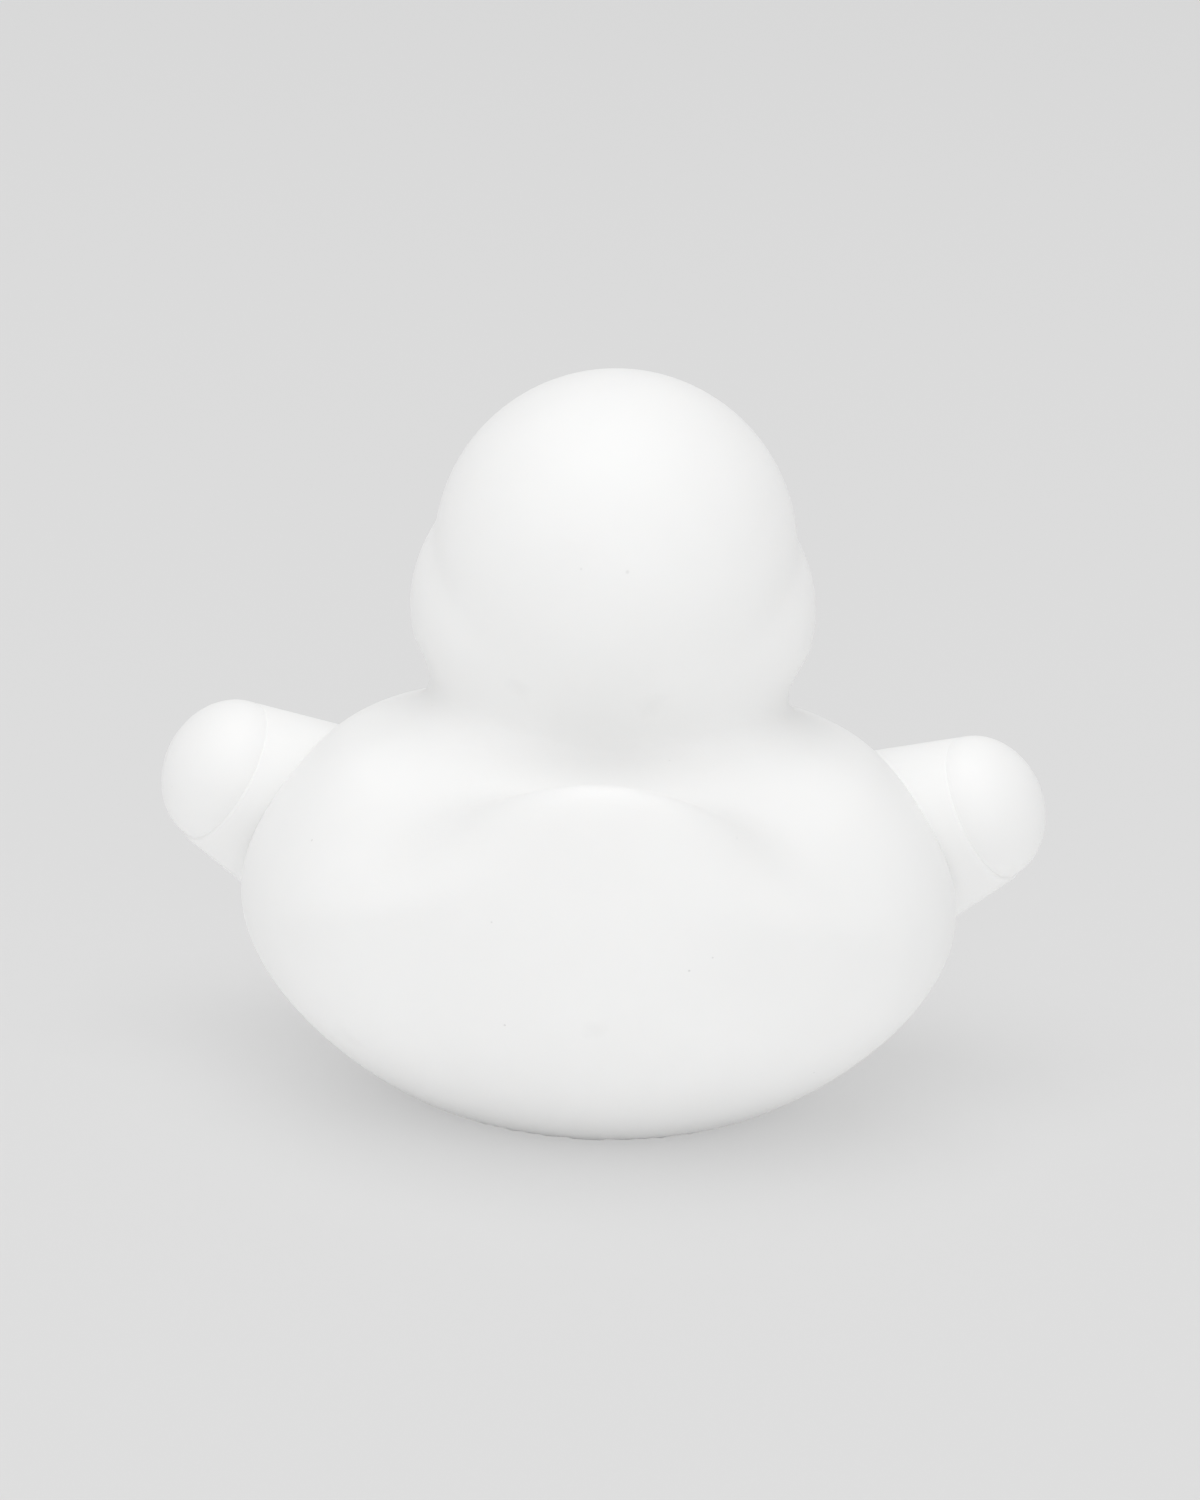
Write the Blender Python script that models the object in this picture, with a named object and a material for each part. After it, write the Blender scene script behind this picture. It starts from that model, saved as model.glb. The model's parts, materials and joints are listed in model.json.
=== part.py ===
"""A plain rubber duck with two short raised arms, one hollow moulding in soft vinyl.

Metres, +Z up. The duck faces +Y, and the origin is the middle of its flat base.
"""

import math

import bmesh
import bpy
from mathutils import Matrix, Vector

MM = 0.001

# Moulding
WALL = 2.0 * MM
VENT_RADIUS = 3.0 * MM
VENT_CUT_DEPTH = 4 * WALL
VINYL_COLOUR = (0.86, 0.86, 0.85, 1.0)
VINYL_ROUGHNESS = 0.5

# Body: a bowl with a low domed top, widest at its turn
BASE_RADIUS = 17.0 * MM
BODY_HALF_WIDTH = 36.0 * MM
BODY_HALF_LENGTH = 38.5 * MM
WIDEST_HEIGHT = 19.5 * MM
FOOT_PULL = 4.5 * MM
SHOULDER_HALF_WIDTH = 26.5 * MM
SHOULDER_HEIGHT = 35.1 * MM
SHOULDER_SLOPE = math.radians(27.0)
SHOULDER_OUTER_PULL = 3.5 * MM
SHOULDER_INNER_PULL = 5.0 * MM
BACK_HEIGHT = 38.0 * MM
BACK_PULL_RADIUS = 13.0 * MM
TURN_LOWER_PULL_SHARE = 0.46
TURN_UPPER_PULL_SHARE = 0.37

# Tail: at the back the turn rises and the shoulder becomes a raised lip over a saddle.
# The gather is the power by which the lip draws in to the middle of the back.
TAIL_SPREAD = math.radians(76.0)
TAIL_TURN_HEIGHT = 30.0 * MM
TAIL_REACH = 36.0 * MM
TAIL_HEIGHT = 41.0 * MM
TAIL_OUTER_PULL = 2.5 * MM
TAIL_INNER_PULL = 2.0 * MM
LIP_GATHER = 3
FLANK_DIP = 2.6 * MM

# Saddle: the dip between the lip and the neck, outside and in the hollow
SADDLE_PULL_RADIUS = 18.7 * MM
SADDLE_PULL_HEIGHT = 29.0 * MM

# The hollow's own rim under the saddle, which stops short of the lip and leaves it solid
SADDLE_REACH = 27.0 * MM
SADDLE_HEIGHT = 35.0 * MM

# Head: a round skull over fuller cheeks
SKULL_RADIUS = 18.2 * MM
SKULL_CENTRE = Vector((0.0, 3.0 * MM, 54.5 * MM))
CHEEK_HALF_SIZES = Vector((20.4 * MM, 18.0 * MM, 17.2 * MM))
CHEEK_CENTRE = Vector((0.0, 6.0 * MM, 48.0 * MM))

# Beak and eyes
UPPER_BILL_HALF_SIZES = Vector((9.5 * MM, 10.0 * MM, 3.4 * MM))
UPPER_BILL_CENTRE = Vector((0.0, 24.5 * MM, 47.8 * MM))
LOWER_BILL_HALF_SIZES = Vector((8.0 * MM, 8.4 * MM, 2.8 * MM))
LOWER_BILL_CENTRE = Vector((0.0, 23.5 * MM, 45.2 * MM))
EYE_RADIUS = 3.0 * MM
EYE_OFFSET = 8.0 * MM
EYE_HEIGHT = 60.5 * MM
EYE_PROUD = 1.0 * MM

# Arms: a sleeve that ends in a cuff, with a ball-shaped hand in it
ARM_DIRECTION = Vector((0.825, -0.308, 0.474)).normalized()
CUFF_CENTRE = Vector((38.7 * MM, 8.0 * MM, 28.4 * MM))
SLEEVE_LENGTH = 15.0 * MM
CUFF_RADIUS = 7.7 * MM
ARM_ROOT_RADIUS = 10.8 * MM
ARM_ROOT_ROUNDING = 5.0 * MM
ARM_ROOT_ROUNDING_STEPS = 3
CUFF_ROUNDING = 0.3 * MM
CUFF_ROUNDING_STEPS = 2
HAND_RADIUS = 7.55 * MM
HAND_LENGTH = 6.2 * MM
HAND_SET_BACK = 0.4 * MM
HAND_RISE = 0.14 * MM

# Fineness of the round forms
BODY_SIDES = 48
HOLLOW_SIDES = 28
CURVE_STEPS = 6
HEAD_SIDES = 32
SMALL_SIDES = 20
EYE_SIDES = 10
SHARP_ANGLE = math.radians(35.0)


def clear_scene():
    for item in list(bpy.data.objects):
        bpy.data.objects.remove(item, do_unlink=True)


def new_collection(name):
    collection = bpy.data.collections.new(name)
    bpy.context.scene.collection.children.link(collection)
    return collection


def add_object(name, shape, collection):
    mesh = bpy.data.meshes.new(name)
    shape.to_mesh(mesh)
    shape.free()
    item = bpy.data.objects.new(name, mesh)
    collection.objects.link(item)
    return item


def add_guide(name, shape, collection):
    guide = add_object(name, shape, collection)
    guide.hide_render = True
    guide.display_type = "WIRE"
    return guide


def bezier(start, pull_start, pull_end, end, steps):
    """Points of a cubic curve, without its last one, so that curves follow each other."""
    points = []
    for step in range(steps):
        t = step / steps
        s = 1.0 - t
        points.append(s**3 * start + 3 * s * s * t * pull_start + 3 * s * t * t * pull_end + t**3 * end)
    return points


def tail_share(angle):
    """1 straight back, falling smoothly to 0 at the tail's spread to either side."""
    from_back = abs(math.remainder(angle + math.pi / 2, 2 * math.pi))
    reach = min(from_back / TAIL_SPREAD, 1.0)
    return 0.5 * (1.0 + math.cos(math.pi * reach))


def mix(side, back, share):
    return side + (back - side) * share


def hump(share):
    """0 at both ends of the share and 1 halfway."""
    return 4 * share * (1 - share)


def mirrored(vector, side):
    return Vector((side * vector.x, vector.y, vector.z))


def section(angle, inset, lip, steps):
    """Radius and height from the foot to the middle of the back, at one angle round the duck."""
    share = tail_share(angle)
    lip_share = share**LIP_GATHER
    stretch = BODY_HALF_WIDTH / BODY_HALF_LENGTH
    lip_radius, lip_height = lip[0] * stretch, lip[1]
    foot = Vector((BASE_RADIUS - inset, inset))
    turn = Vector((BODY_HALF_WIDTH - inset, mix(WIDEST_HEIGHT, TAIL_TURN_HEIGHT, share)))
    dip = FLANK_DIP * hump(share)
    rim = Vector((
        mix(SHOULDER_HALF_WIDTH, lip_radius, lip_share) - inset,
        mix(SHOULDER_HEIGHT, lip_height, lip_share) - dip - inset,
    ))
    top = Vector((0.0, BACK_HEIGHT - inset))
    slope = mix(SHOULDER_SLOPE, 0.0, lip_share)
    outward = Vector((math.cos(slope), -math.sin(slope)))
    outer_pull = mix(SHOULDER_OUTER_PULL, TAIL_OUTER_PULL, lip_share)
    inner_pull = mix(SHOULDER_INNER_PULL, TAIL_INNER_PULL, lip_share)
    back_pull = Vector((
        mix(BACK_PULL_RADIUS, SADDLE_PULL_RADIUS, lip_share) - inset * share,
        mix(BACK_HEIGHT, SADDLE_PULL_HEIGHT, lip_share) - inset,
    ))
    up = Vector((0.0, 1.0))
    below_turn = turn - up * TURN_LOWER_PULL_SHARE * turn[1]
    above_turn = turn + up * TURN_UPPER_PULL_SHARE * (rim[1] - turn[1])
    points = bezier(foot, foot + Vector((FOOT_PULL, 0.0)), below_turn, turn, steps)
    points += bezier(turn, above_turn, rim + outward * outer_pull, rim, steps)
    points += bezier(rim, rim - outward * inner_pull, back_pull, top, steps)
    return points


def body_shape(inset, lip, sides):
    """A loft of sections round the duck, from the foot's ring up to the middle of the back."""
    length_share = (BODY_HALF_LENGTH - inset) / (BODY_HALF_WIDTH - inset)
    shape = bmesh.new()
    columns = []
    for step in range(sides):
        angle = 2 * math.pi * step / sides
        column = []
        for radius, height in section(angle, inset, lip, CURVE_STEPS):
            x = radius * math.cos(angle)
            y = radius * math.sin(angle) * length_share
            column.append(shape.verts.new((x, y, height)))
        columns.append(column)
    peak = shape.verts.new((0.0, 0.0, BACK_HEIGHT - inset))
    for step, here in enumerate(columns):
        after = columns[(step + 1) % sides]
        for low in range(len(here) - 1):
            shape.faces.new((here[low], after[low], after[low + 1], here[low + 1]))
        shape.faces.new((here[-1], after[-1], peak))
    shape.faces.new([column[0] for column in reversed(columns)])
    bmesh.ops.recalc_face_normals(shape, faces=shape.faces)
    return shape


def ellipsoid(centre, half_sizes, sides):
    shape = bmesh.new()
    place = Matrix.Translation(centre) @ Matrix.Diagonal((*half_sizes, 1.0))
    bmesh.ops.create_uvsphere(shape, u_segments=sides, v_segments=sides // 2, radius=1.0, matrix=place)
    return shape


def round_rim(shape, upper, radius, steps):
    """Rounds the edge at the upper or the lower end of a turned shape that stands across its origin."""
    rim = [edge for edge in shape.edges if all((vert.co.z > 0.0) == upper for vert in edge.verts)]
    bmesh.ops.bevel(
        shape, geom=rim, offset=radius, offset_type="OFFSET", segments=steps, profile=0.5,
        affect="EDGES", material=-1,
    )


def sleeve_shape(side, inset):
    """A sleeve that narrows from a rounded root inside the body to the cuff and its small round edge."""
    direction = mirrored(ARM_DIRECTION, side)
    length = SLEEVE_LENGTH - 2 * inset
    middle = mirrored(CUFF_CENTRE, side) - direction * 0.5 * SLEEVE_LENGTH
    turn = direction.to_track_quat("Z", "Y").to_matrix().to_4x4()
    shape = bmesh.new()
    bmesh.ops.create_cone(
        shape, cap_ends=True, segments=SMALL_SIDES, radius1=ARM_ROOT_RADIUS - inset,
        radius2=CUFF_RADIUS - inset, depth=length,
    )
    round_rim(shape, True, CUFF_ROUNDING, CUFF_ROUNDING_STEPS)
    round_rim(shape, False, ARM_ROOT_ROUNDING - inset, ARM_ROOT_ROUNDING_STEPS)
    bmesh.ops.transform(shape, matrix=Matrix.Translation(middle) @ turn, verts=shape.verts)
    return shape


def hand_centre(side):
    """On the arm's line a little behind the cuff, and raised across that line."""
    direction = mirrored(ARM_DIRECTION, side)
    across = (Vector((0.0, 0.0, 1.0)) - direction * direction.z).normalized()
    return mirrored(CUFF_CENTRE, side) - direction * HAND_SET_BACK + across * HAND_RISE


def hand_shape(side, inset):
    direction = mirrored(ARM_DIRECTION, side)
    half_sizes = Vector((HAND_RADIUS - inset, HAND_RADIUS - inset, HAND_LENGTH - inset))
    shape = ellipsoid(Vector((0.0, 0.0, 0.0)), half_sizes, SMALL_SIDES)
    turn = direction.to_track_quat("Z", "Y").to_matrix().to_4x4()
    bmesh.ops.transform(shape, matrix=Matrix.Translation(hand_centre(side)) @ turn, verts=shape.verts)
    return shape


def eye_shape(side):
    across = side * EYE_OFFSET
    up = EYE_HEIGHT - SKULL_CENTRE.z
    forward = math.sqrt(SKULL_RADIUS**2 - across**2 - up**2)
    outward = Vector((across, forward, up)).normalized()
    centre = SKULL_CENTRE + outward * (SKULL_RADIUS + EYE_PROUD - EYE_RADIUS)
    return ellipsoid(centre, (EYE_RADIUS, EYE_RADIUS, EYE_RADIUS), EYE_SIDES)


def head_forms(inset, sides, collection, prefix):
    shrink = Vector((inset, inset, inset))
    skull = Vector((SKULL_RADIUS, SKULL_RADIUS, SKULL_RADIUS)) - shrink
    add_guide(prefix + "skull", ellipsoid(SKULL_CENTRE, skull, sides), collection)
    cheeks = CHEEK_HALF_SIZES - shrink
    add_guide(prefix + "cheeks", ellipsoid(CHEEK_CENTRE, cheeks, sides), collection)


def arm_forms(inset, collection, prefix):
    for name, side in (("left", -1), ("right", 1)):
        add_guide(prefix + "sleeve_" + name, sleeve_shape(side, inset), collection)
        add_guide(prefix + "hand_" + name, hand_shape(side, inset), collection)


def face_forms(collection):
    upper = ellipsoid(UPPER_BILL_CENTRE, UPPER_BILL_HALF_SIZES, SMALL_SIDES)
    add_guide("outer_upper_bill", upper, collection)
    lower = ellipsoid(LOWER_BILL_CENTRE, LOWER_BILL_HALF_SIZES, SMALL_SIDES)
    add_guide("outer_lower_bill", lower, collection)
    for name, side in (("left", -1), ("right", 1)):
        add_guide("outer_eye_" + name, eye_shape(side), collection)


def vent_form(collection):
    """The round hole through the wall of the base."""
    shape = bmesh.new()
    bmesh.ops.create_cone(
        shape, cap_ends=True, segments=SMALL_SIDES, radius1=VENT_RADIUS, radius2=VENT_RADIUS,
        depth=VENT_CUT_DEPTH,
    )
    add_guide("vent", shape, collection)


def vinyl_material():
    material = bpy.data.materials.new("vinyl")
    material.use_nodes = True
    finish = material.node_tree.nodes["Principled BSDF"]
    finish.inputs["Base Color"].default_value = VINYL_COLOUR
    finish.inputs["Roughness"].default_value = VINYL_ROUGHNESS
    finish.inputs["Metallic"].default_value = 0.0
    return material


def add_boolean(item, name, operation, collection):
    modifier = item.modifiers.new(name, "BOOLEAN")
    modifier.operand_type = "COLLECTION"
    modifier.collection = collection
    modifier.operation = operation
    modifier.solver = "EXACT"


def main():
    clear_scene()
    parts = new_collection("rubber_duck")
    outer = new_collection("outer_forms")
    inner = new_collection("inner_forms")
    head_forms(0.0, HEAD_SIDES, outer, "outer_")
    arm_forms(0.0, outer, "outer_")
    face_forms(outer)
    hollow = body_shape(WALL, (SADDLE_REACH, SADDLE_HEIGHT), HOLLOW_SIDES)
    add_guide("inner_body", hollow, inner)
    head_forms(WALL, HOLLOW_SIDES, inner, "inner_")
    arm_forms(WALL, inner, "inner_")
    vent_form(inner)
    duck = add_object("duck", body_shape(0.0, (TAIL_REACH, TAIL_HEIGHT), BODY_SIDES), parts)
    duck.data.materials.append(vinyl_material())
    add_boolean(duck, "join_forms", "UNION", outer)
    add_boolean(duck, "hollow", "DIFFERENCE", inner)
    duck.data.shade_smooth()
    duck.data.set_sharp_from_angle(angle=SHARP_ANGLE)


main()
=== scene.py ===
import json
import math

import bmesh
import bpy
from mathutils import Matrix, Vector
from mathutils.bvhtree import BVHTree

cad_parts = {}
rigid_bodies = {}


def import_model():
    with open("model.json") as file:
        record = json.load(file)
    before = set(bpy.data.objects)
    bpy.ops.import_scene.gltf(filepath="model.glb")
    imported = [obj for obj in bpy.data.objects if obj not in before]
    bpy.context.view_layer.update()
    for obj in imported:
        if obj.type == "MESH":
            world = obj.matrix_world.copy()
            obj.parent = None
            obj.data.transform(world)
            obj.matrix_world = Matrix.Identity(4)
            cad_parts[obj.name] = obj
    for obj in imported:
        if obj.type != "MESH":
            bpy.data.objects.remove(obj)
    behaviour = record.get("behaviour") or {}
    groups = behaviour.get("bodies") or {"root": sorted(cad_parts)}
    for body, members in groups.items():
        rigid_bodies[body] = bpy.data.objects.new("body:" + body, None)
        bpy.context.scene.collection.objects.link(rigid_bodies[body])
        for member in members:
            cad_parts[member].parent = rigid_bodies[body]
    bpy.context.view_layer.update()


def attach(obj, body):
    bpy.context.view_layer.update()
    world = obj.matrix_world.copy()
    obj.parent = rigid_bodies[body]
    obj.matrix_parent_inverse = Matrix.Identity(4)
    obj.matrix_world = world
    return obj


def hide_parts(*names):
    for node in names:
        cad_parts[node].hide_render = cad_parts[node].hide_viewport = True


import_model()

MM = 0.001
WHITE = (1.0, 1.0, 1.0, 1.0)

# Moulding
WALL = 2.0 * MM
VENT_RADIUS = 3.0 * MM
VENT_CUT_DEPTH = 4 * WALL

# Body: a bowl with a low domed top, widest at its turn
BASE_RADIUS = 17.0 * MM
BODY_HALF_WIDTH = 36.0 * MM
BODY_HALF_LENGTH = 38.5 * MM
WIDEST_HEIGHT = 19.5 * MM
FOOT_PULL = 4.5 * MM
SHOULDER_HALF_WIDTH = 26.5 * MM
SHOULDER_HEIGHT = 35.1 * MM
SHOULDER_SLOPE = math.radians(27.0)
SHOULDER_OUTER_PULL = 3.5 * MM
SHOULDER_INNER_PULL = 5.0 * MM
BACK_HEIGHT = 38.0 * MM
BACK_PULL_RADIUS = 13.0 * MM
TURN_LOWER_PULL_SHARE = 0.46
TURN_UPPER_PULL_SHARE = 0.37

# Tail: at the back the turn rises and the shoulder becomes a raised lip over a saddle.
# The gather is the power by which the lip draws in to the middle of the back.
TAIL_SPREAD = math.radians(76.0)
TAIL_TURN_HEIGHT = 30.0 * MM
TAIL_REACH = 36.0 * MM
TAIL_HEIGHT = 41.0 * MM
TAIL_OUTER_PULL = 2.5 * MM
TAIL_INNER_PULL = 2.0 * MM
LIP_GATHER = 3
FLANK_DIP = 2.6 * MM

# Saddle: the dip between the lip and the neck, outside and in the hollow
SADDLE_PULL_RADIUS = 18.7 * MM
SADDLE_PULL_HEIGHT = 29.0 * MM

# The hollow's own rim under the saddle, which stops short of the lip and leaves it solid
SADDLE_REACH = 27.0 * MM
SADDLE_HEIGHT = 35.0 * MM

# Head and face
SKULL_RADIUS = 18.2 * MM
SKULL_CENTRE = Vector((0.0, 3.0 * MM, 54.5 * MM))
CHEEK_HALF_SIZES = Vector((20.4 * MM, 18.0 * MM, 17.2 * MM))
CHEEK_CENTRE = Vector((0.0, 6.0 * MM, 48.0 * MM))
UPPER_BILL_HALF_SIZES = Vector((9.5 * MM, 10.0 * MM, 3.4 * MM))
UPPER_BILL_CENTRE = Vector((0.0, 24.5 * MM, 47.8 * MM))
LOWER_BILL_HALF_SIZES = Vector((8.0 * MM, 8.4 * MM, 2.8 * MM))
LOWER_BILL_CENTRE = Vector((0.0, 23.5 * MM, 45.2 * MM))
EYE_RADIUS = 3.0 * MM
EYE_OFFSET = 8.0 * MM
EYE_HEIGHT = 60.5 * MM
EYE_PROUD = 1.0 * MM

# Arms: a sleeve that ends in a cuff, with a rounded hand in it
ARM_DIRECTION = Vector((0.825, -0.308, 0.474)).normalized()
CUFF_CENTRE = Vector((38.7 * MM, 8.0 * MM, 28.4 * MM))
SLEEVE_LENGTH = 15.0 * MM
CUFF_RADIUS = 7.7 * MM
ARM_ROOT_RADIUS = 10.8 * MM
ARM_ROOT_ROUNDING = 5.0 * MM
ARM_ROOT_ROUNDING_STEPS = 12
CUFF_ROUNDING = 0.3 * MM
CUFF_ROUNDING_STEPS = 4
HAND_RADIUS = 7.55 * MM
HAND_LENGTH = 6.2 * MM
HAND_SET_BACK = 0.4 * MM
HAND_RISE = 0.14 * MM

# Fineness
BODY_SIDES = 160
HOLLOW_SIDES = 28
FINE_STEPS = 22
COARSE_STEPS = 6
ROUND_SIDES = 96
EYE_SIDES = 48
SKIN_VOXEL = 0.55 * MM
MERGE_DISTANCE = 0.01 * MM
ANGLE_DECIMALS = 5
SHARP_ANGLE = math.radians(35.0)

# How far from a crease the skin is softened, and in how many rounds. The neck flows widest
# in the middle of the back and of the breast, and is tighter at the sides.
NECK_MIDDLE_REACH = 14.0 * MM
NECK_SIDE_REACH = 7.0 * MM
NECK_FULLNESS = 1.8
NECK_ROUNDS = 560
CHEEK_REACH = 2.8 * MM
CHEEK_ROUNDS = 30
POLISHING_ROUNDS = 12
SOFTENING_FACTOR = 0.5

# How far from its plane a point still belongs to the foot, and how short a sliver's edge is
FOOT_TOLERANCE = 0.2 * MM
SEAM_TOLERANCE = 0.004 * MM

# Camera, from the photograph: 10 of its pixels to the millimetre. The sensor's width alone is
# a number of millimetres, as a camera takes it.
CAMERA_DISTANCE = 650.0 * MM
CAMERA_CLIP_START = 10.0 * MM
CAMERA_ELEVATION = math.radians(15.0)
CAMERA_ROLL = math.radians(2.8)
CAMERA_TARGET = Vector((-0.6 * MM, 0.0, 34.7 * MM))
VIEW_HEIGHT = 150.0 * MM
SENSOR_WIDTH = 36.0

# Studio: a big soft lamp overhead, a weak low one behind the camera, and a pale table
# that gives the underside a little light of its own
ROOM_LIGHT = 0.65
LAMP_PLACE = Vector((-0.1, -0.25, 1.4))
LAMP_SIZE = 1.5
LAMP_POWER = 9.3
FILL_PLACE = Vector((0.1, -0.9, 0.15))
FILL_SIZE = 0.6
FILL_POWER = 1.1
FLOOR_HALF_SIZE = 4.0
FLOOR_ROUGHNESS = 0.9
FLOOR_SPECULAR = 0.1
FLOOR_SEEN = (0.3, 0.3, 0.3, 1.0)
FLOOR_SEEN_GLOW = 0.42
FLOOR_BOUNCE = (0.9, 0.9, 0.9, 1.0)
FLOOR_BOUNCE_GLOW = 0.08
ROOM_SEEN = (0.65, 0.65, 0.65, 1.0)

# Vinyl: its white and its gloss, and how much light goes into it and how deep
VINYL_WHITE = (0.91, 0.91, 0.905)
VINYL_ROUGHNESS = 0.5
VINYL_SPECULAR = 0.35
SUBSURFACE_WEIGHT = 0.15
SUBSURFACE_TINT = (1.0, 0.95, 0.9)
SUBSURFACE_DEPTH = 2.5 * MM

# Its clouding, its fine grain and its dust. Noise is used between its low and its high value.
# The dust's core and edge are distances from the point of a cell, in cells.
NOISE_LOW = 0.3
NOISE_HIGH = 0.7
CLOUD_SCALE = 60.0
CLOUD_DETAIL = 3.0
CLOUD_SHADE = 0.975
GRAIN_SCALE = 2600.0
GRAIN_DETAIL = 2.0
GRAIN_STRENGTH = 0.12
GRAIN_DEPTH = 0.05 * MM
DUST_SCALE = 200.0
DUST_CORE = 0.015
DUST_EDGE = 0.03
DUST_SHADE = 0.82

# Marks seen in the photograph: where each is on the skin, its radius and its shade. The core is
# the share of the radius that has the full shade. The ragged edge draws a mark in or out.
MARK_CORE_SHARE = 0.2
RAGGED_SCALE = 700.0
RAGGED_DETAIL = 4.0
RAGGED_LEAST = 0.6
RAGGED_MOST = 1.6
SMUDGE_SHADE = 0.975
SPECK_SHADE = 0.85
MARKS = (
    (Vector((-9.0, -9.2, 42.7)) * MM, 1.6 * MM, SMUDGE_SHADE),
    (Vector((4.3, -10.5, 42.2)) * MM, 2.0 * MM, SMUDGE_SHADE),
    (Vector((0.2, -34.3, 16.3)) * MM, 1.6 * MM, SMUDGE_SHADE),
    (Vector((-24.0, -20.8, 9.6)) * MM, 2.2 * MM, SMUDGE_SHADE),
    (Vector((-3.3, -14.8, 56.7)) * MM, 0.2 * MM, SPECK_SHADE),
    (Vector((1.2, -15.1, 56.7)) * MM, 0.2 * MM, SPECK_SHADE),
)


def bezier(start, pull_start, pull_end, end, steps):
    """Points of a cubic curve, without its last one, so that curves follow each other."""
    points = []
    for step in range(steps):
        t = step / steps
        s = 1.0 - t
        points.append(s**3 * start + 3 * s * s * t * pull_start + 3 * s * t * t * pull_end + t**3 * end)
    return points


def tail_share(angle):
    """1 straight back, falling smoothly to 0 at the tail's spread to either side."""
    from_back = abs(math.remainder(angle + math.pi / 2, 2 * math.pi))
    reach = min(from_back / TAIL_SPREAD, 1.0)
    return 0.5 * (1.0 + math.cos(math.pi * reach))


def mix(side, back, share):
    return side + (back - side) * share


def hump(share):
    """0 at both ends of the share and 1 halfway."""
    return 4 * share * (1 - share)


def section(angle, inset, lip, steps):
    """Radius and height from the foot to the middle of the back, at one angle round the duck."""
    share = tail_share(angle)
    lip_share = share**LIP_GATHER
    stretch = BODY_HALF_WIDTH / BODY_HALF_LENGTH
    lip_radius, lip_height = lip[0] * stretch, lip[1]
    foot = Vector((BASE_RADIUS - inset, inset))
    turn = Vector((BODY_HALF_WIDTH - inset, mix(WIDEST_HEIGHT, TAIL_TURN_HEIGHT, share)))
    dip = FLANK_DIP * hump(share)
    rim = Vector((
        mix(SHOULDER_HALF_WIDTH, lip_radius, lip_share) - inset,
        mix(SHOULDER_HEIGHT, lip_height, lip_share) - dip - inset,
    ))
    top = Vector((0.0, BACK_HEIGHT - inset))
    slope = mix(SHOULDER_SLOPE, 0.0, lip_share)
    outward = Vector((math.cos(slope), -math.sin(slope)))
    outer_pull = mix(SHOULDER_OUTER_PULL, TAIL_OUTER_PULL, lip_share)
    inner_pull = mix(SHOULDER_INNER_PULL, TAIL_INNER_PULL, lip_share)
    back_pull = Vector((
        mix(BACK_PULL_RADIUS, SADDLE_PULL_RADIUS, lip_share) - inset * share,
        mix(BACK_HEIGHT, SADDLE_PULL_HEIGHT, lip_share) - inset,
    ))
    up = Vector((0.0, 1.0))
    below_turn = turn - up * TURN_LOWER_PULL_SHARE * turn[1]
    above_turn = turn + up * TURN_UPPER_PULL_SHARE * (rim[1] - turn[1])
    points = bezier(foot, foot + Vector((FOOT_PULL, 0.0)), below_turn, turn, steps)
    points += bezier(turn, above_turn, rim + outward * outer_pull, rim, steps)
    points += bezier(rim, rim - outward * inner_pull, back_pull, top, steps)
    return points


def body_shape(inset, lip, sides, steps):
    """One section spun round, then each of its turns drawn to the section at its own angle."""
    shape = bmesh.new()
    level_of = shape.verts.layers.int.new("level")
    peak = Vector((0.0, BACK_HEIGHT - inset))
    run = []
    for level, (radius, height) in enumerate(section(0.0, inset, lip, steps) + [peak]):
        vert = shape.verts.new((radius, 0.0, height))
        vert[level_of] = level
        run.append(vert)
    edges = [shape.edges.new(pair) for pair in zip(run, run[1:])]
    bmesh.ops.spin(
        shape, geom=run + edges, cent=(0, 0, 0), axis=(0, 0, 1), angle=2 * math.pi,
        steps=sides, use_merge=True,
    )
    bmesh.ops.remove_doubles(shape, verts=shape.verts, dist=MERGE_DISTANCE)
    length_share = (BODY_HALF_LENGTH - inset) / (BODY_HALF_WIDTH - inset)
    sections = {}
    for vert in shape.verts:
        if vert[level_of] == len(run) - 1:
            continue
        angle = round(math.atan2(vert.co.y, vert.co.x), ANGLE_DECIMALS)
        if angle not in sections:
            sections[angle] = section(angle, inset, lip, steps)
        radius, height = sections[angle][vert[level_of]]
        vert.co = (radius * math.cos(angle), radius * math.sin(angle) * length_share, height)
    foot = [edge for edge in shape.edges if edge.is_boundary]
    bmesh.ops.contextual_create(shape, geom=foot)
    bmesh.ops.recalc_face_normals(shape, faces=shape.faces)
    return shape


def ellipsoid(centre, half_sizes, sides):
    shape = bmesh.new()
    place = Matrix.Translation(centre) @ Matrix.Diagonal((*half_sizes, 1.0))
    bmesh.ops.create_uvsphere(shape, u_segments=sides, v_segments=sides // 2, radius=1.0, matrix=place)
    return shape


def mirrored(vector, side):
    return Vector((side * vector.x, vector.y, vector.z))


def aimed(place, direction, axis):
    """Stands something at a place, with one of its axes along a direction."""
    return Matrix.Translation(place) @ direction.to_track_quat(axis, "Y").to_matrix().to_4x4()


def round_rim(shape, upper, radius, steps):
    """Rounds the edge at the upper or the lower end of a turned shape that stands across its origin."""
    rim = [edge for edge in shape.edges if all((vert.co.z > 0.0) == upper for vert in edge.verts)]
    bmesh.ops.bevel(
        shape, geom=rim, offset=radius, offset_type="OFFSET", segments=steps, profile=0.5,
        affect="EDGES", material=-1,
    )


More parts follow.
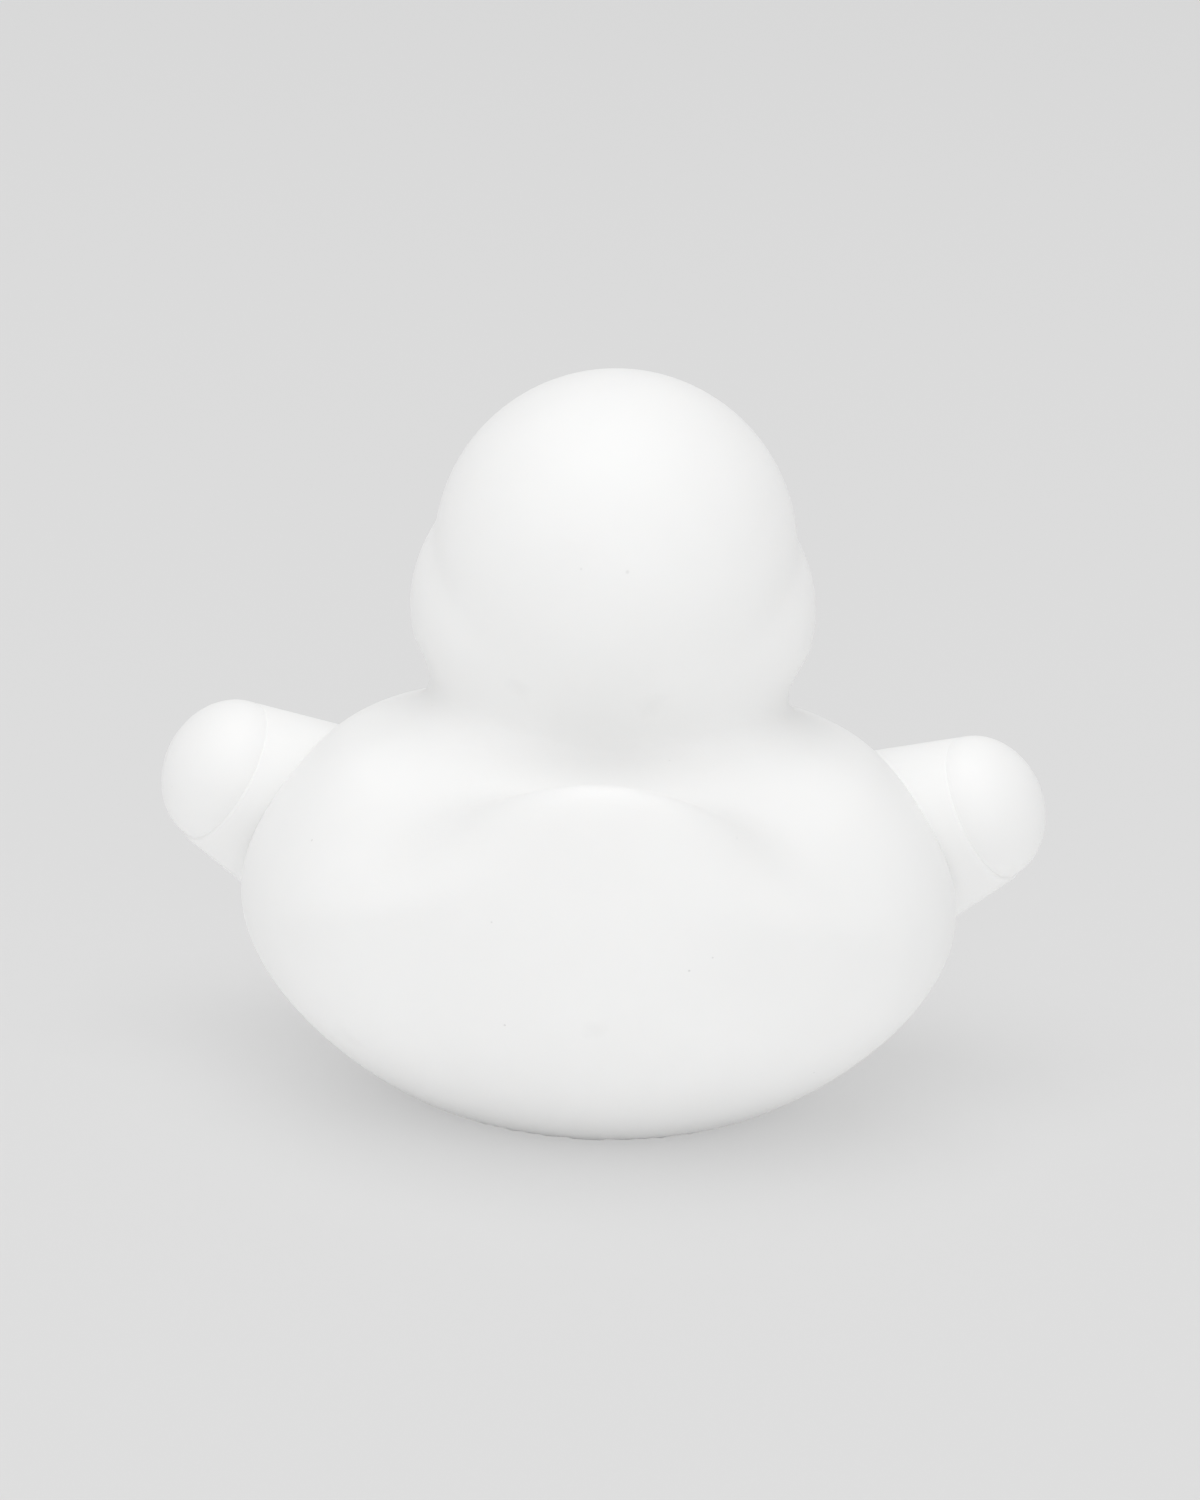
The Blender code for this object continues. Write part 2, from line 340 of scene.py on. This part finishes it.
def sleeve_shape(side, inset, sides):
    """A sleeve that narrows from a rounded root inside the body to the cuff and its small round edge."""
    direction = mirrored(ARM_DIRECTION, side)
    length = SLEEVE_LENGTH - 2 * inset
    middle = mirrored(CUFF_CENTRE, side) - direction * 0.5 * SLEEVE_LENGTH
    shape = bmesh.new()
    bmesh.ops.create_cone(
        shape, cap_ends=True, segments=sides, radius1=ARM_ROOT_RADIUS - inset,
        radius2=CUFF_RADIUS - inset, depth=length,
    )
    round_rim(shape, True, CUFF_ROUNDING, CUFF_ROUNDING_STEPS)
    round_rim(shape, False, ARM_ROOT_ROUNDING - inset, ARM_ROOT_ROUNDING_STEPS)
    bmesh.ops.transform(shape, matrix=aimed(middle, direction, "Z"), verts=shape.verts)
    return shape


def hand_centre(side):
    """On the arm's line a little behind the cuff, and raised across that line."""
    direction = mirrored(ARM_DIRECTION, side)
    across = (Vector((0.0, 0.0, 1.0)) - direction * direction.z).normalized()
    return mirrored(CUFF_CENTRE, side) - direction * HAND_SET_BACK + across * HAND_RISE


def hand_shape(side, inset, sides):
    direction = mirrored(ARM_DIRECTION, side)
    half_sizes = Vector((HAND_RADIUS - inset, HAND_RADIUS - inset, HAND_LENGTH - inset))
    shape = ellipsoid(Vector((0.0, 0.0, 0.0)), half_sizes, sides)
    bmesh.ops.transform(shape, matrix=aimed(hand_centre(side), direction, "Z"), verts=shape.verts)
    return shape


def eye_shape(side):
    across = side * EYE_OFFSET
    up = EYE_HEIGHT - SKULL_CENTRE.z
    forward = math.sqrt(SKULL_RADIUS**2 - across**2 - up**2)
    outward = Vector((across, forward, up)).normalized()
    centre = SKULL_CENTRE + outward * (SKULL_RADIUS + EYE_PROUD - EYE_RADIUS)
    return ellipsoid(centre, (EYE_RADIUS, EYE_RADIUS, EYE_RADIUS), EYE_SIDES)


def head_shapes(inset, sides):
    shrink = Vector((inset, inset, inset))
    skull = Vector((SKULL_RADIUS, SKULL_RADIUS, SKULL_RADIUS)) - shrink
    return {
        "skull": ellipsoid(SKULL_CENTRE, skull, sides),
        "cheeks": ellipsoid(CHEEK_CENTRE, CHEEK_HALF_SIZES - shrink, sides),
    }


def arm_shapes(inset, sides):
    shapes = {}
    for name, side in (("left", -1), ("right", 1)):
        shapes["sleeve_" + name] = sleeve_shape(side, inset, sides)
        shapes["hand_" + name] = hand_shape(side, inset, sides)
    return shapes


def flowing_shapes():
    """The forms whose skin flows from one to the next."""
    shapes = {"body": body_shape(0.0, (TAIL_REACH, TAIL_HEIGHT), BODY_SIDES, FINE_STEPS)}
    shapes.update(head_shapes(0.0, ROUND_SIDES))
    return shapes


def crisp_shapes():
    """The forms that meet the skin, and each other, at a clean line."""
    shapes = arm_shapes(0.0, ROUND_SIDES)
    shapes["upper_bill"] = ellipsoid(UPPER_BILL_CENTRE, UPPER_BILL_HALF_SIZES, ROUND_SIDES)
    shapes["lower_bill"] = ellipsoid(LOWER_BILL_CENTRE, LOWER_BILL_HALF_SIZES, ROUND_SIDES)
    shapes["eye_left"] = eye_shape(-1)
    shapes["eye_right"] = eye_shape(1)
    return shapes


def inner_shapes():
    shapes = {"body": body_shape(WALL, (SADDLE_REACH, SADDLE_HEIGHT), HOLLOW_SIDES, COARSE_STEPS)}
    shapes.update(head_shapes(WALL, HOLLOW_SIDES))
    shapes.update(arm_shapes(WALL, HOLLOW_SIDES))
    vent = bmesh.new()
    bmesh.ops.create_cone(
        vent, cap_ends=True, segments=ROUND_SIDES, radius1=VENT_RADIUS, radius2=VENT_RADIUS,
        depth=VENT_CUT_DEPTH,
    )
    shapes["vent"] = vent
    return shapes


def add_object(name, shape, collection):
    mesh = bpy.data.meshes.new(name)
    shape.to_mesh(mesh)
    shape.free()
    item = bpy.data.objects.new(name, mesh)
    collection.objects.link(item)
    return item


def add_forms(shapes, name):
    collection = bpy.data.collections.new(name)
    bpy.context.scene.collection.children.link(collection)
    for key, shape in shapes.items():
        add_object(name + "_" + key, shape, collection)
    return collection


def remove_forms(collection):
    for item in list(collection.objects):
        bpy.data.objects.remove(item, do_unlink=True)
    bpy.data.collections.remove(collection)


def settle(item):
    """Replaces the object's mesh with its evaluated one and clears its modifiers."""
    graph = bpy.context.evaluated_depsgraph_get()
    mesh = bpy.data.meshes.new_from_object(item.evaluated_get(graph))
    item.modifiers.clear()
    item.data = mesh


def add_boolean(item, operation, collection):
    modifier = item.modifiers.new(operation.lower(), "BOOLEAN")
    modifier.operand_type = "COLLECTION"
    modifier.collection = collection
    modifier.operation = operation
    modifier.solver = "EXACT"


def softness_groups(item, trees):
    """Two groups of weights, 1 at the neck or the cheeks' edge and falling to 0 at its reach."""
    neck = item.vertex_groups.new(name="neck")
    cheek = item.vertex_groups.new(name="cheek")
    for vert in item.data.vertices:
        away = {name: tree.find_nearest(vert.co)[3] for name, tree in trees.items()}
        from_neck = max(away["body"], min(away["skull"], away["cheeks"]))
        from_cheek = max(away["skull"], away["cheeks"])
        middle = max(0.0, 1.0 - (vert.co.x / CHEEK_HALF_SIZES.x)**2)
        neck_reach = mix(NECK_SIDE_REACH, NECK_MIDDLE_REACH, middle)
        if from_neck < neck_reach:
            neck.add([vert.index], min(1.0, NECK_FULLNESS * (1.0 - from_neck / neck_reach)), "REPLACE")
        if from_cheek < CHEEK_REACH:
            cheek.add([vert.index], 1.0 - from_cheek / CHEEK_REACH, "REPLACE")


def soften(item, group, rounds):
    """Smooths the skin where the group says, or all over if it names none."""
    smooth = item.modifiers.new("soften_" + group, "SMOOTH")
    smooth.vertex_group = group
    smooth.factor = SOFTENING_FACTOR
    smooth.iterations = rounds


def keep_base_flat(item):
    """The foot of the moulding lies in one plane."""
    for vert in item.data.vertices:
        if vert.co.z < FOOT_TOLERANCE:
            vert.co.z = 0.0


def clean_seams(item):
    """Merges the slivers that joining leaves along a seam."""
    shape = bmesh.new()
    shape.from_mesh(item.data)
    bmesh.ops.remove_doubles(shape, verts=shape.verts, dist=SEAM_TOLERANCE)
    bmesh.ops.dissolve_degenerate(shape, edges=shape.edges, dist=SEAM_TOLERANCE)
    shape.to_mesh(item.data)
    shape.free()


def flowing_skin(collection):
    """Body, skull and cheeks as one even skin, with a wide soft neck."""
    shapes = flowing_shapes()
    trees = {name: BVHTree.FromBMesh(shape) for name, shape in shapes.items()}
    skin = add_object("duck_skin", shapes.pop("body"), collection)
    head = add_forms(shapes, "head")
    add_boolean(skin, "UNION", head)
    settle(skin)
    remove_forms(head)
    remesh = skin.modifiers.new("even_faces", "REMESH")
    remesh.mode = "VOXEL"
    remesh.voxel_size = SKIN_VOXEL
    settle(skin)
    softness_groups(skin, trees)
    soften(skin, "neck", NECK_ROUNDS)
    soften(skin, "cheek", CHEEK_ROUNDS)
    soften(skin, "", POLISHING_ROUNDS)
    settle(skin)
    keep_base_flat(skin)
    return skin


def duck_skin(collection):
    """The whole moulding: the flowing skin, the crisp forms on it and the hollow inside."""
    skin = flowing_skin(collection)
    crisp = add_forms(crisp_shapes(), "crisp")
    hollow = add_forms(inner_shapes(), "inner")
    add_boolean(skin, "UNION", crisp)
    add_boolean(skin, "DIFFERENCE", hollow)
    settle(skin)
    remove_forms(crisp)
    remove_forms(hollow)
    clean_seams(skin)
    skin.data.shade_smooth()
    skin.data.set_sharp_from_angle(angle=SHARP_ANGLE)
    return skin


def new_node(tree, kind, inputs, **settings):
    """A node with its settings, and with each input either linked or set."""
    node = tree.nodes.new(kind)
    for name, value in settings.items():
        setattr(node, name, value)
    for name, value in inputs.items():
        if isinstance(value, bpy.types.NodeSocket):
            tree.links.new(value, node.inputs[name])
        else:
            node.inputs[name].default_value = value
    return node


def new_material(name):
    material = bpy.data.materials.new(name)
    material.use_nodes = True
    return material, material.node_tree


def noise(tree, place, scale, detail):
    node = new_node(tree, "ShaderNodeTexNoise", {"Vector": place, "Scale": scale, "Detail": detail})
    return node.outputs["Fac"]


def fade(tree, value, low, high, at_low, at_high):
    """Turns one range of values into another, and holds the ends."""
    inputs = {"Value": value, "From Min": low, "From Max": high, "To Min": at_low, "To Max": at_high}
    return new_node(tree, "ShaderNodeMapRange", inputs).outputs["Result"]


def product(tree, first, second):
    return new_node(tree, "ShaderNodeMath", {0: first, 1: second}, operation="MULTIPLY").outputs["Value"]


def dust(tree, place):
    """Tiny specks, each round the point of a cell. Few of these points lie close to the skin."""
    cells = new_node(tree, "ShaderNodeTexVoronoi", {"Vector": place, "Scale": DUST_SCALE})
    return fade(tree, cells.outputs["Distance"], DUST_CORE, DUST_EDGE, DUST_SHADE, 1.0)


def mark(tree, place, ragged, centre, radius, shade):
    """A soft mark with a ragged edge round one point of the skin."""
    away = new_node(tree, "ShaderNodeVectorMath", {0: place, 1: centre}, operation="DISTANCE")
    frayed = product(tree, away.outputs["Value"], ragged)
    return fade(tree, frayed, MARK_CORE_SHARE * radius, radius, shade, 1.0)


def vinyl_finish():
    """Matt white soft vinyl with faint clouding, a fine grain, sparse dust and the marks seen on it."""
    material, tree = new_material("white_vinyl")
    place = new_node(tree, "ShaderNodeTexCoord", {}).outputs["Object"]
    clouds = noise(tree, place, CLOUD_SCALE, CLOUD_DETAIL)
    shade = fade(tree, clouds, NOISE_LOW, NOISE_HIGH, CLOUD_SHADE, 1.0)
    shade = product(tree, shade, dust(tree, place))
    edges = noise(tree, place, RAGGED_SCALE, RAGGED_DETAIL)
    ragged = fade(tree, edges, NOISE_LOW, NOISE_HIGH, RAGGED_LEAST, RAGGED_MOST)
    for centre, radius, mark_shade in MARKS:
        shade = product(tree, shade, mark(tree, place, ragged, centre, radius, mark_shade))
    white = new_node(tree, "ShaderNodeVectorMath", {0: VINYL_WHITE, "Scale": shade}, operation="SCALE")
    grain = noise(tree, place, GRAIN_SCALE, GRAIN_DETAIL)
    relief = {"Strength": GRAIN_STRENGTH, "Distance": GRAIN_DEPTH, "Height": grain}
    bump = new_node(tree, "ShaderNodeBump", relief)
    finish = tree.nodes["Principled BSDF"]
    finish.inputs["Roughness"].default_value = VINYL_ROUGHNESS
    finish.inputs["Specular IOR Level"].default_value = VINYL_SPECULAR
    finish.inputs["Subsurface Weight"].default_value = SUBSURFACE_WEIGHT
    finish.inputs["Subsurface Radius"].default_value = SUBSURFACE_TINT
    finish.inputs["Subsurface Scale"].default_value = SUBSURFACE_DEPTH
    tree.links.new(white.outputs["Vector"], finish.inputs["Base Color"])
    tree.links.new(bump.outputs["Normal"], finish.inputs["Normal"])
    return material


def table_finish(tree, colour, glow):
    inputs = {
        "Base Color": colour, "Roughness": FLOOR_ROUGHNESS, "Specular IOR Level": FLOOR_SPECULAR,
        "Emission Color": WHITE, "Emission Strength": glow,
    }
    return new_node(tree, "ShaderNodeBsdfPrincipled", inputs).outputs["BSDF"]


def floor_finish():
    """Pale to the eye. To the light that it throws back on the duck it is a white table."""
    material, tree = new_material("pale_floor")
    tree.nodes.remove(tree.nodes["Principled BSDF"])
    rays = new_node(tree, "ShaderNodeLightPath", {})
    seen = table_finish(tree, FLOOR_SEEN, FLOOR_SEEN_GLOW)
    bounce = table_finish(tree, FLOOR_BOUNCE, FLOOR_BOUNCE_GLOW)
    choose = new_node(tree, "ShaderNodeMixShader", {0: rays.outputs["Is Diffuse Ray"], 1: seen, 2: bounce})
    tree.links.new(choose.outputs["Shader"], tree.nodes["Material Output"].inputs["Surface"])
    return material


def add_floor(collection):
    shape = bmesh.new()
    bmesh.ops.create_grid(shape, x_segments=1, y_segments=1, size=FLOOR_HALF_SIZE)
    floor = add_object("floor", shape, collection)
    floor.data.materials.append(floor_finish())


def add_camera(collection):
    camera = bpy.data.objects.new("camera", bpy.data.cameras.new("camera"))
    collection.objects.link(camera)
    camera.data.sensor_width = SENSOR_WIDTH
    camera.data.lens = SENSOR_WIDTH * CAMERA_DISTANCE / VIEW_HEIGHT
    camera.data.clip_start = CAMERA_CLIP_START
    look = Vector((0.0, math.cos(CAMERA_ELEVATION), -math.sin(CAMERA_ELEVATION)))
    roll = Matrix.Rotation(CAMERA_ROLL, 4, "Z")
    camera.matrix_world = aimed(CAMERA_TARGET - look * CAMERA_DISTANCE, look, "-Z") @ roll
    bpy.context.scene.camera = camera


def add_lamp(name, collection, place, size, power):
    lamp = bpy.data.objects.new(name, bpy.data.lights.new(name, "AREA"))
    collection.objects.link(lamp)
    lamp.data.shape = "SQUARE"
    lamp.data.size = size
    lamp.data.energy = power
    lamp.visible_camera = False
    lamp.matrix_world = aimed(place, CAMERA_TARGET - place, "-Z")


def add_light(collection):
    """A white room, with its own tone where the camera sees it, and two soft lamps."""
    world = bpy.data.worlds.new("studio")
    bpy.context.scene.world = world
    world.use_nodes = True
    tree = world.node_tree
    tree.nodes.clear()
    room = new_node(tree, "ShaderNodeBackground", {"Color": WHITE, "Strength": ROOM_LIGHT})
    seen = new_node(tree, "ShaderNodeBackground", {"Color": ROOM_SEEN, "Strength": 1.0})
    rays = new_node(tree, "ShaderNodeLightPath", {})
    shaders = {0: rays.outputs["Is Camera Ray"], 1: room.outputs[0], 2: seen.outputs[0]}
    choose = new_node(tree, "ShaderNodeMixShader", shaders)
    out = new_node(tree, "ShaderNodeOutputWorld", {"Surface": choose.outputs["Shader"]})
    out.is_active_output = True
    add_lamp("overhead", collection, LAMP_PLACE, LAMP_SIZE, LAMP_POWER)
    add_lamp("fill", collection, FILL_PLACE, FILL_SIZE, FILL_POWER)


def main():
    scene = bpy.context.scene
    scene.view_settings.view_transform = "Standard"
    home = scene.collection
    skin = duck_skin(home)
    skin.data.materials.clear()
    skin.data.materials.append(vinyl_finish())
    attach(skin, "root")
    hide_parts("duck")
    add_floor(home)
    add_camera(home)
    add_light(home)


main()
